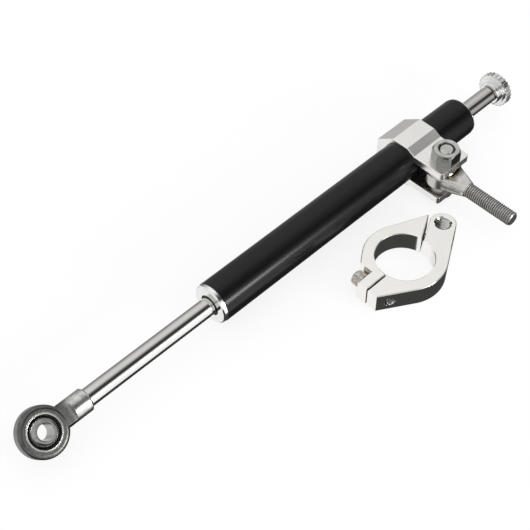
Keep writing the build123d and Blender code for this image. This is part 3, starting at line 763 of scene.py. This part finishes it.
@dataclass
class RodEnd(SubAssembly):
    """Eye on the rod's near end.

    Attributes:
        tilt: Lean of the eye about the rod in degrees.
        race_radius: Outer radius of the race.
        race_half: Half of the race's width.
        mouth_radius: Radius of the race's open mouth.
        seat_radius: Radius of the round seat inside it.
        lip_height: How far its rounded lip stands proud.
        face: Zone of painted shade that darkens the ring's face and neck, standing in for their dark
            reflection.
    """

    tilt: float = 41.0
    race_radius: float = 8.75 * MM
    race_half: float = 4.5 * MM
    mouth_radius: float = 8.0 * MM
    seat_radius: float = 8.51 * MM
    lip_height: float = 0.22 * MM
    face: PaintedShade = PaintedShade(13.5 * MM, 19.6 * MM, 9.0 * MM, 0.82)
    title = "rod end"

    def lay(self) -> Lay:
        """Rings round the eye's own axis."""
        lean = math.radians(self.tilt)
        return Lay(Grain.TURNED, (0.0, 0.0, 0.0), (0.0, -math.sin(lean), math.cos(lean)))

    def dressings(self) -> list[Dressing]:
        """Finishes of the eye's pieces."""
        return [
            # Painted shade darkens the ring's face and neck by their distance from the eye's axis.
            Dressing(EYE_STEEL, ("rod_end_body",), replace(self.lay(), grooves=(self.face,)), "ring"),
            Dressing(RACE_STEEL, ("eye_race",), self.lay(), "eye"),
            Dressing(LINER_BLACK, ("eye_liner",)),
            Dressing(BALL_STEEL, ("eye_ball",), self.lay(), "eye"),
        ]

    def race(self) -> bpy.types.Object:
        """Race with a rounded lip at each mouth and a round seat inside."""
        shape = PieceMesh("eye_race_ring", 96)
        middle = (self.race_radius + self.mouth_radius) / 2
        half_lip = (self.race_radius - self.mouth_radius) / 2
        foot = self.race_half - half_lip
        shares = [step / ROUND_STEPS for step in range(ROUND_STEPS + 1)]
        lip = [(foot + (half_lip + self.lip_height) * math.sin(math.pi * share),
                middle + half_lip * math.cos(math.pi * share)) for share in shares]
        seat_top = math.sqrt(self.seat_radius ** 2 - self.mouth_radius ** 2)
        seat = [seat_top * (1 - 2 * share) for share in shares]
        for height, radius in lip:
            shape.ring(height, radius)
        for height in seat:
            shape.ring(height, math.sqrt(self.seat_radius ** 2 - height ** 2))
        for height, radius in reversed(lip):
            shape.ring(-height, radius)
        shape.join_ends()
        shape.place(Matrix.Rotation(math.radians(self.tilt), 4, "X"))
        return shape.finished(RACE_STEEL, self.lay(), "rod", "eye")

    def build(self) -> list[bpy.types.Object]:
        """The race, in place of its plain node."""
        race = self.race()
        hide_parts("eye_race")
        return [race]


@dataclass
class Adjuster(SubAssembly):
    """Notched knob with its spindle, ring and screw.

    Attributes:
        painted_notch_shade: Zone of painted shade in the notches round the knob's rim.
    """

    painted_notch_shade: PaintedShade = PaintedShade(9.4 * MM, 9.85 * MM, 9.2 * MM, 0.35)
    title = "adjuster"

    def dressings(self) -> list[Dressing]:
        """Finishes of the adjuster's pieces."""
        # Painted shade in the notches of the knob's rim.
        notched = replace(DAMPER_TURNED, grooves=(self.painted_notch_shade,))
        return [
            Dressing(POLISHED_ALUMINIUM, ("adjuster_knob",), notched, "knob"),
            Dressing(ZINC_STEEL, ("adjuster_spindle", "knob_screw"), DAMPER_TURNED),
            Dressing(SEAL_RUBBER, ("spindle_o_ring",), DAMPER_TURNED),
        ]


@dataclass
class Bracket(SubAssembly):
    """Clamp bracket with its pinch bolt, nut and washers.

    Attributes:
        bolt_axis: A point on the bolt's axis.
        gap: Zone of painted shade in the gap between the bolt and the nut.
        flats: Zone of painted shade that darkens the nut's flats, standing in for their darker reflection.
    """

    bolt_axis: Triple = (*LINK_AXIS, 0.0)
    gap: PaintedShade = PaintedShade(4.3 * MM, 4.85 * MM)
    flats: PaintedShade = PaintedShade(10.0 * MM, 11.0 * MM, 6.7 * MM, 0.55)
    title = "bracket"

    def dressings(self) -> list[Dressing]:
        """Finishes of the bracket and its fasteners."""
        upright = Lay(Grain.TURNED, self.bolt_axis, (0.0, 0.0, 1.0))
        return [
            Dressing(SILVER_ANODISED, ("clamp_bracket",), DAMPER_DRAWN),
            Dressing(ZINC_STEEL, ("pinch_bolt", "link_washers"), upright, "bolt"),
            # Painted shade: the gap round the bolt's end and the nut's flats are darkened.
            Dressing(ZINC_STEEL, ("pinch_nut",), replace(upright, grooves=(self.gap, self.flats)), "nut"),
        ]


@dataclass
class FrameLink(SubAssembly):
    """Ball joint between the ears, and its threaded stud.

    Attributes:
        centre: Centre of the ball.
        thread_start: Distance from the ball to the thread's start.
        thread_end: Distance from the ball to the stud's end.
        pitch: Pitch of the stud's thread.
        major: Radius of the thread's crests.
        minor: Radius of its grooves.
        bevel: Bevel at the stud's end.
        painted_groove_shade: Painted shade in the thread's grooves.
    """

    centre: Triple = (*LINK_AXIS, -1.3 * MM)
    thread_start: float = 17.3 * MM
    thread_end: float = 47.1 * MM
    pitch: float = 1.25 * MM
    major: float = 4.0 * MM
    minor: float = 3.2 * MM
    bevel: float = 0.8 * MM
    painted_groove_shade: float = 0.5
    title = "frame link"

    def dressings(self) -> list[Dressing]:
        """Finishes of the ball and its race."""
        upright = Lay(Grain.TURNED, self.centre, (0.0, 0.0, 1.0))
        return [
            Dressing(BALL_STEEL, ("link_ball",), upright, "link"),
            Dressing(RACE_BRASS, ("link_race",), upright, "link"),
            Dressing(LINK_STEEL, ("link_body",)),
        ]

    def stud_foot(self) -> Vector:
        """Point on the stud's axis where its thread starts."""
        return Vector(self.centre) - Vector((0.0, self.thread_start, 0.0))

    def forging(self) -> bpy.types.Object:
        """Head and neck of the link, cut off where the thread starts."""
        shape = PieceMesh("link_forging")
        shape.mesh.from_mesh(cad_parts["link_body"].data)
        bmesh.ops.remove_doubles(shape.mesh, verts=shape.mesh.verts, dist=SEAM_GAP)
        shape.cut(self.stud_foot(), (0.0, -1.0, 0.0))
        shape.close()
        return shape.finished(LINK_STEEL, EVEN, "frame_link", sharp=24.0)

    def stud(self) -> bpy.types.Object:
        """Threaded stud with its run-out and bevelled end."""
        shape = PieceMesh("link_stud", 64)
        form = ThreadForm(self.pitch, self.major, self.minor, end_bevel=self.bevel, fade=self.pitch / 2)
        shape.thread(0.0, self.thread_end - self.thread_start, form)
        shape.lay_down(self.stud_foot())
        # Painted shade in the thread's grooves, darkest at the root.
        groove = PaintedShade(self.minor, self.major - THREAD_MARGIN, shade=self.painted_groove_shade)
        stud_lay = Lay(Grain.TURNED, self.centre, (0.0, -1.0, 0.0), (groove,))
        return shape.finished(STUD_STEEL, stud_lay, "frame_link", "stud")

    def build(self) -> list[bpy.types.Object]:
        """The link's body in two pieces."""
        pieces = [self.forging(), self.stud()]
        for piece in pieces:
            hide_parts("link_body")
        return pieces


@dataclass
class ClampScrew:
    """Socket screw with a knurled head and a real thread.

    Attributes:
        name: The piece's name.
        length: Length of its thread.
        place: The point under its head.
        back: Direction from the thread to the head.
        head_radius: Radius of the head over the knurl.
        head_length: Height of the head.
        knurl_depth: Depth of the knurl.
        knurl_teeth: Ridges round the head.
        socket: Half of the socket's width across flats.
        socket_depth: Depth of the socket.
        socket_mouth: Radius of its bevelled mouth.
        socket_rim: Depth of that bevel.
        socket_end: Depth of the cone at its bottom.
        socket_tip: Radius of the cone's tip.
        edge: Bevel at the head's top and foot.
        major: Radius of the thread's crests.
        minor: Radius of its grooves.
        pitch: Its pitch.
        crest_margin: How far under the crests and ridges the painted shade ends.
        painted_knurl_zone: Width of the painted shade in the knurl's grooves.
        painted_knurl_shade: Its strength.
    """

    name: str
    length: float
    place: Triple
    back: Triple
    head_radius: float = 4.0 * MM
    head_length: float = 5.6 * MM
    knurl_depth: float = 0.28 * MM
    knurl_teeth: int = 26
    socket: float = 2.0 * MM
    socket_depth: float = 2.4 * MM
    socket_mouth: float = 2.44 * MM
    socket_rim: float = 0.2 * MM
    socket_end: float = 2.76 * MM
    socket_tip: float = 0.05 * MM
    edge: float = 0.5 * MM
    major: float = 2.45 * MM
    minor: float = 2.02 * MM
    pitch: float = 0.8 * MM
    crest_margin: float = 0.03 * MM
    painted_knurl_zone: float = 0.3 * MM
    painted_knurl_shade: float = 0.45

    def knurled(self, angle: float) -> float:
        """Radius of the knurl at an angle."""
        phase = angle * self.knurl_teeth / (2 * math.pi) % 1.0
        return self.head_radius - self.knurl_depth * abs(2 * phase - 1)

    def hexagon(self, angle: float) -> float:
        """Radius of the socket at an angle."""
        turn = angle % (math.pi / 3) - math.pi / 6
        return self.socket / math.cos(turn)

    def head(self) -> bmesh.types.BMesh:
        """Head with its knurl and socket, standing on its foot."""
        shape = PieceMesh(self.name, self.knurl_teeth * 6)
        foot = self.head_radius - self.knurl_depth
        top = self.head_length
        for height, radius in (
                (0.0, self.minor), (0.0, foot - self.edge / 2), (self.edge / 2, foot),
                (self.edge / 2, self.knurled), (top - self.edge, self.knurled), (top - self.edge, foot),
                (top, foot - self.edge), (top, self.socket_mouth), (top - self.socket_rim, self.hexagon),
                (top - self.socket_depth, self.hexagon), (top - self.socket_end, self.socket_tip)):
            shape.ring(height, radius)
        shape.cap(-1)
        shape.cap(0)
        return shape.mesh

    def build(self) -> bpy.types.Object:
        """Make the screw.

        Returns:
            The screw's object.
        """
        shape = PieceMesh(self.name, 48)
        form = ThreadForm(self.pitch, self.major, self.minor, start_bevel=self.edge)
        shape.thread(-self.length, 0.0, form)
        head = bpy.data.meshes.new(self.name + "_head")
        made = self.head()
        made.to_mesh(head)
        made.free()
        shape.mesh.from_mesh(head)
        bpy.data.meshes.remove(head)
        way = Vector(self.back)
        turn = way.to_track_quat("Z", "Y").to_matrix().to_4x4()
        shape.place(Matrix.Translation(Vector(self.place)) @ turn)
        # Painted shade: darkens the thread's grooves, the screw's end and socket, and the knurl's grooves.
        knurl = self.head_radius - self.knurl_depth
        ridges = self.head_radius - self.crest_margin
        grooves = (PaintedShade(self.minor, self.major - self.crest_margin),
                   PaintedShade(knurl, ridges, knurl - self.painted_knurl_zone, self.painted_knurl_shade))
        lay = Lay(Grain.TURNED, self.place, self.back, grooves)
        return shape.finished(SCREW_STEEL, lay, "fork_clamp", self.name)


@dataclass
class ForkClamp(SubAssembly):
    """Two-piece fork clamp that stands by itself.

    Attributes:
        centre: Foot of the bore's axis.
        thickness: Height of the clamp.
        eye: Place of the eye hole from the bore's centre.
        eye_radius: Radius of the eye hole.
        eye_bevel: Bevel at the hole's mouths.
        eye_minor: Radius of the hole's thread crests.
        eye_pitch: Pitch of the hole's thread.
        lug_screw: Place of the lug screw's head from the bore's centre.
        slant_screw: Place of the slanted screw's head from the bore's centre.
        slant: Turn of the slanted screw in degrees.
        lug_exit: Distance from the lug screw's end to the bore's centre line.
        lug_wall: Point where the lug hole's axis leaves the clamp, from the bore's centre.
        lug_face: Outward direction of the wall there.
        lug_length: Length of the lug screw's thread.
        slant_length: Length of the slanted screw's thread.
        lug_crest: Radius of the crests in the lug's hole.
        lug_wall_radius: Radius of the lug's hole.
        lug_depth: Length of the thread in it.
        lug_pitch: Its pitch.
        wall_gap: How far the eye's thread stands off the hole's wall.
        bevel_share: Share of the bevel that the eye's thread leaves free.
        painted_groove_shade: Painted shade in both holes' threads.
    """

    centre: Triple = (196.3 * MM, -44.4 * MM, -15.0 * MM)
    thickness: float = 11.5 * MM
    eye: tuple[float, float] = (31.2 * MM, 1.3 * MM)
    eye_radius: float = 4.0 * MM
    eye_bevel: float = 0.75 * MM
    eye_minor: float = 3.4 * MM
    eye_pitch: float = 1.25 * MM
    lug_screw: tuple[float, float] = (-23.4 * MM, 6.3 * MM)
    slant_screw: tuple[float, float] = (18.551 * MM, 9.466 * MM)
    slant: float = 28.8
    lug_exit: float = -9.35 * MM
    lug_wall: tuple[float, float] = (-23.4 * MM, -11.16 * MM)
    lug_face: Triple = (-0.523, -0.852, 0.0)
    lug_length: float = 15.6 * MM
    slant_length: float = 17.0 * MM
    lug_crest: float = 2.12 * MM
    lug_wall_radius: float = 2.53 * MM
    lug_depth: float = 3.6 * MM
    lug_pitch: float = 0.8 * MM
    wall_gap: float = 0.02 * MM
    bevel_share: float = 0.6
    painted_groove_shade: float = 0.6
    title = "fork clamp"

    def dressings(self) -> list[Dressing]:
        """Finish of the clamp's halves and screws."""
        return [
            Dressing(PALE_ANODISED, ("fork_plain_half", "fork_eye_half"), DAMPER_DRAWN),
            Dressing(SCREW_STEEL, ("fork_screws",)),
        ]

    def screws(self) -> list[bpy.types.Object]:
        """Both clamp screws, in place of their plain node."""
        turn = math.radians(self.slant)
        lug = ClampScrew("clamp_screw_lug", self.lug_length, self.halfway(self.lug_screw), (0.0, 1.0, 0.0))
        slanted = ClampScrew("clamp_screw_slanted", self.slant_length, self.halfway(self.slant_screw),
                             (-math.sin(turn), math.cos(turn), 0.0))
        return [lug.build(), slanted.build()]

    def halfway(self, spot: tuple[float, float]) -> Triple:
        """Point halfway up the clamp over a spot given from the bore's centre."""
        return tuple(Vector(self.centre) + Vector((*spot, self.thickness / 2)))

    def eye_thread(self) -> bpy.types.Object:
        """Thread inside the eye hole."""
        shape = PieceMesh("fork_eye_thread", 64)
        free = self.eye_bevel * self.bevel_share
        wall = self.eye_radius - self.wall_gap
        form = ThreadForm(self.eye_pitch, self.eye_minor, wall, self.eye_bevel, self.eye_bevel, closed=False)
        shape.thread(free, self.thickness - free, form)
        foot = Vector(self.centre) + Vector((*self.eye, 0.0))
        shape.place(Matrix.Translation(foot))
        # Painted shade in the eye hole's thread grooves.
        groove = PaintedShade(wall, self.eye_minor + THREAD_MARGIN, shade=self.painted_groove_shade)
        lay = Lay(Grain.TURNED, tuple(foot), (0.0, 0.0, 1.0), (groove,))
        return shape.finished(POLISHED_ALUMINIUM, lay, "fork_clamp", "eye", inward=True)

    def lug_thread(self) -> bpy.types.Object:
        """Thread in the lug's hole, from the screw's end to the wall."""
        shape = PieceMesh("fork_lug_thread", 48)
        form = ThreadForm(self.lug_pitch, self.lug_crest, self.lug_wall_radius, closed=False)
        shape.thread(0.0, self.lug_depth, form)
        foot = self.halfway((self.lug_wall[0], self.lug_exit))
        shape.lay_down(Vector(foot))
        shape.cut(Vector(self.halfway(self.lug_wall)), self.lug_face)
        # Painted shade in the lug hole's thread grooves.
        groove = PaintedShade(self.lug_wall_radius, self.lug_crest + THREAD_MARGIN, shade=self.painted_groove_shade)
        lay = Lay(Grain.TURNED, foot, (0.0, -1.0, 0.0), (groove,))
        return shape.finished(POLISHED_ALUMINIUM, lay, "fork_clamp", "lug", inward=True)

    def build(self) -> list[bpy.types.Object]:
        """The clamp's added pieces."""
        screws = self.screws()
        for screw in screws:
            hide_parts("fork_screws")
        return [self.eye_thread(), self.lug_thread(), *screws]


@dataclass(frozen=True)
class Wall:
    """An even wall of the studio, or a dark gap, as it stands round the damper's axis.

    Attributes:
        start: Turn in degrees at which it starts, from +Y up towards +Z.
        end: Turn at which it ends.
        grey: Its strength, 1 being white.
    """

    start: float
    end: float
    grey: float


# What the part mirrors, by how far the mirrored ray runs along X: near the middle, far ahead, behind.
NEAR_WALLS = (Wall(0, 0, 0.45), Wall(50, 75, 1.0), Wall(115, 130, 0.05), Wall(155, 210, 1.5),
              Wall(225, 295, 0.05), Wall(305, 325, 0.8), Wall(335, 345, 0.2), Wall(360, 360, 0.45))
FAR_WALLS = (Wall(0, 10, 0.5), Wall(60, 80, 0.85), Wall(105, 115, 0.55), Wall(120, 140, 0.05),
             Wall(180, 190, 0.7), Wall(200, 210, 0.45), Wall(230, 290, 0.05), Wall(345, 360, 0.5))
BACK_WALLS = (Wall(0, 115, 0.9), Wall(135, 140, 0.4), Wall(155, 200, 1.0), Wall(210, 270, 0.05),
              Wall(275, 360, 0.95))
NEAR_TO_FAR = (0.40, 0.54)
AHEAD_TO_BACK = (0.15, -0.3)

WHITE = (1.0, 1.0, 1.0, 1.0)
FLOOR_TONES = ((0.97, 0.97, 0.97, 1.0), (0.985, 0.985, 0.98, 1.0))


@dataclass
class Studio:
    """Camera, floor, world and one lamp.

    Attributes:
        eye_point: Place of the camera.
        aim: The point that it looks at.
        lens: Its focal length in millimetres.
        sensor: Width of its sensor in millimetres.
        floor_height: Height of the floor.
        floor_size: Length of the floor's side.
        floor_clouds: Clouds of its faint tones in a metre.
        paper_glow: Share of the floor's white that shadows don't reach.
        glow_strength: Strength of that white.
        room: Grey of the light that falls on matt surfaces.
        white: Strength of the brightest wall in reflections.
        clip: Nearest and furthest distance that the camera sees.
        lamp_place: Where the lamp hangs.
        lamp_aim: The point that it looks at.
        lamp_size: Its width and height.
        lamp_power: Its power in watts.
    """

    eye_point: Triple = (-141.1 * MM, -286.05 * MM, 482.67 * MM)
    aim: Triple = (140.0 * MM, -0.75 * MM, 0.0)
    lens: float = 85.37
    sensor: float = 36.0
    floor_height: float = -15.02 * MM
    floor_size: float = 12.0
    floor_clouds: float = 3.0
    paper_glow: float = 0.82
    glow_strength: float = 1.01
    room: float = 0.92
    white: float = 1.6
    clip: tuple[float, float] = (0.01, 50.0)
    lamp_place: Triple = (0.42, -0.907, 0.281)
    lamp_aim: Triple = (0.12, 0.0, 0.0)
    lamp_size: tuple[float, float] = (0.34, 0.18)
    lamp_power: float = 3.6

    def aimed(self, name: str, data: bpy.types.ID, place: Triple, aim: Triple) -> bpy.types.Object:
        """Set up a camera or a lamp so that it looks at a point.

        Args:
            name: Its name.
            data: The camera or the light.
            place: Where it stands.
            aim: The point that it looks at.

        Returns:
            Its object.
        """
        made = bpy.data.objects.new(name, data)
        made.location = place
        made.rotation_euler = (Vector(aim) - Vector(place)).to_track_quat("-Z", "Y").to_euler()
        bpy.context.scene.collection.objects.link(made)
        return made

    def camera(self) -> None:
        """Set the camera where the photograph was taken from."""
        data = bpy.data.cameras.new("camera")
        data.lens = self.lens
        data.sensor_fit = "HORIZONTAL"
        data.sensor_width = self.sensor
        data.clip_start, data.clip_end = self.clip
        bpy.context.scene.camera = self.aimed("camera", data, self.eye_point, self.aim)

    def mirrored(self, sheet: NodeSheet) -> bpy.types.NodeSocket:
        """Whether a ray comes from a mirror or glass."""
        rays = sheet.add("LightPath").outputs
        return sheet.math("MAXIMUM", rays["Is Glossy Ray"], rays["Is Transmission Ray"])

    def seen(self, sheet: NodeSheet) -> bpy.types.NodeSocket:
        """Whether a ray comes from the camera, a mirror or glass."""
        rays = sheet.add("LightPath").outputs
        return sheet.math("MAXIMUM", rays["Is Camera Ray"], self.mirrored(sheet))

    def floor(self) -> None:
        """Lay a plain pale floor under the part."""
        half, height = self.floor_size / 2, self.floor_height
        corners = [(x, y, height) for x, y in ((-half, -half), (half, -half), (half, half), (-half, half))]
        data = bpy.data.meshes.new("floor")
        data.from_pydata(corners, [], [(0, 1, 2, 3)])
        floor = bpy.data.objects.new("floor", data)
        bpy.context.scene.collection.objects.link(floor)
        made = bpy.data.materials.new("floor_paper")
        made.use_nodes = True
        sheet = NodeSheet(made.node_tree)
        seat = sheet.add("TexCoord").outputs["Object"]
        clouds = sheet.noise(seat, self.floor_clouds, detail=2.0, rough=0.55)
        tone = sheet.mix(clouds, *FLOOR_TONES)
        paper = sheet.add("BsdfDiffuse", {"Color": tone})
        glow = sheet.add("Emission", {"Color": WHITE, "Strength": self.glow_strength})
        blend = sheet.add("MixShader", {"Fac": sheet.math("MULTIPLY", self.seen(sheet), self.paper_glow)})
        sheet.feed(blend.inputs[1], paper.outputs[0])
        sheet.feed(blend.inputs[2], glow.outputs[0])
        out = sheet.add("OutputMaterial")
        sheet.feed(out.inputs["Surface"], blend.outputs[0])
        data.materials.append(made)
        floor.visible_glossy = False

    def ramp(self, walls: Sequence[Wall]) -> list[Stop]:
        """Stops of a ring of walls: each wall is even, and soft edges lie between them."""
        return [(place / 360, wall.grey / self.white) for wall in walls for place in (wall.start, wall.end)]

    def world(self) -> None:
        """Surround the part with a soft studio: pale walls with dark gaps between them."""
        world = bpy.data.worlds.new("studio")
        bpy.context.scene.world = world
        world.use_nodes = True
        sheet = NodeSheet(world.node_tree)
        way = sheet.add("TexCoord").outputs["Generated"]
        split = sheet.add("SeparateXYZ", {"Vector": way}).outputs
        turn = sheet.math("DIVIDE", sheet.math("ARCTAN2", split[2], split[1]), 2 * math.pi)
        share = sheet.math("FRACT", sheet.math("ADD", turn, 1.0))
        near = sheet.grey_ramp(share, self.ramp(NEAR_WALLS))
        far = sheet.grey_ramp(share, self.ramp(FAR_WALLS))
        behind = sheet.grey_ramp(share, self.ramp(BACK_WALLS))
        ahead = sheet.mix(sheet.between(split[0], *NEAR_TO_FAR), near, far)
        picture = sheet.mix(sheet.between(split[0], *AHEAD_TO_BACK), ahead, behind)
        mirrored = self.mirrored(sheet)
        camera_ray = sheet.add("LightPath").outputs["Is Camera Ray"]
        plain_light = sheet.mix(camera_ray, (self.room, self.room, self.room, 1.0), WHITE)
        light = sheet.mix(mirrored, plain_light, picture)
        strength = sheet.between(mirrored, 0.0, 1.0, 1.0, self.white)
        sky = sheet.add("Background", {"Color": light, "Strength": strength})
        out = sheet.add("OutputWorld")
        sheet.feed(out.inputs["Surface"], sky.outputs[0])

    def lamp(self) -> None:
        """Hang the soft lamp that draws the light line on the tube."""
        data = bpy.data.lights.new("strip_lamp", "AREA")
        data.shape = "RECTANGLE"
        data.size, data.size_y = self.lamp_size
        data.energy = self.lamp_power
        self.aimed("strip_lamp", data, self.lamp_place, self.lamp_aim)

    def make(self) -> None:
        """Build the whole studio."""
        bpy.context.scene.view_settings.view_transform = "Standard"
        self.camera()
        self.floor()
        self.world()
        self.lamp()
        LOG.info("studio: camera, floor, world and one lamp")


def plain(box: Sequence[Sequence[float]]) -> list[list[float]]:
    """A box as plain lists of numbers."""
    return [[float(number) for number in corner] for corner in box]


def main() -> None:
    """Build the studio and every sub-assembly in order."""
    logging.basicConfig(level=logging.INFO, format="%(message)s")
    Studio().make()
    for assembly in (DamperTube(), Glands(), ThroughRod(), RodEnd(), Adjuster(), Bracket(), FrameLink(),
                     ForkClamp()):
        assembly.make()


if __name__ == "__main__":
    main()
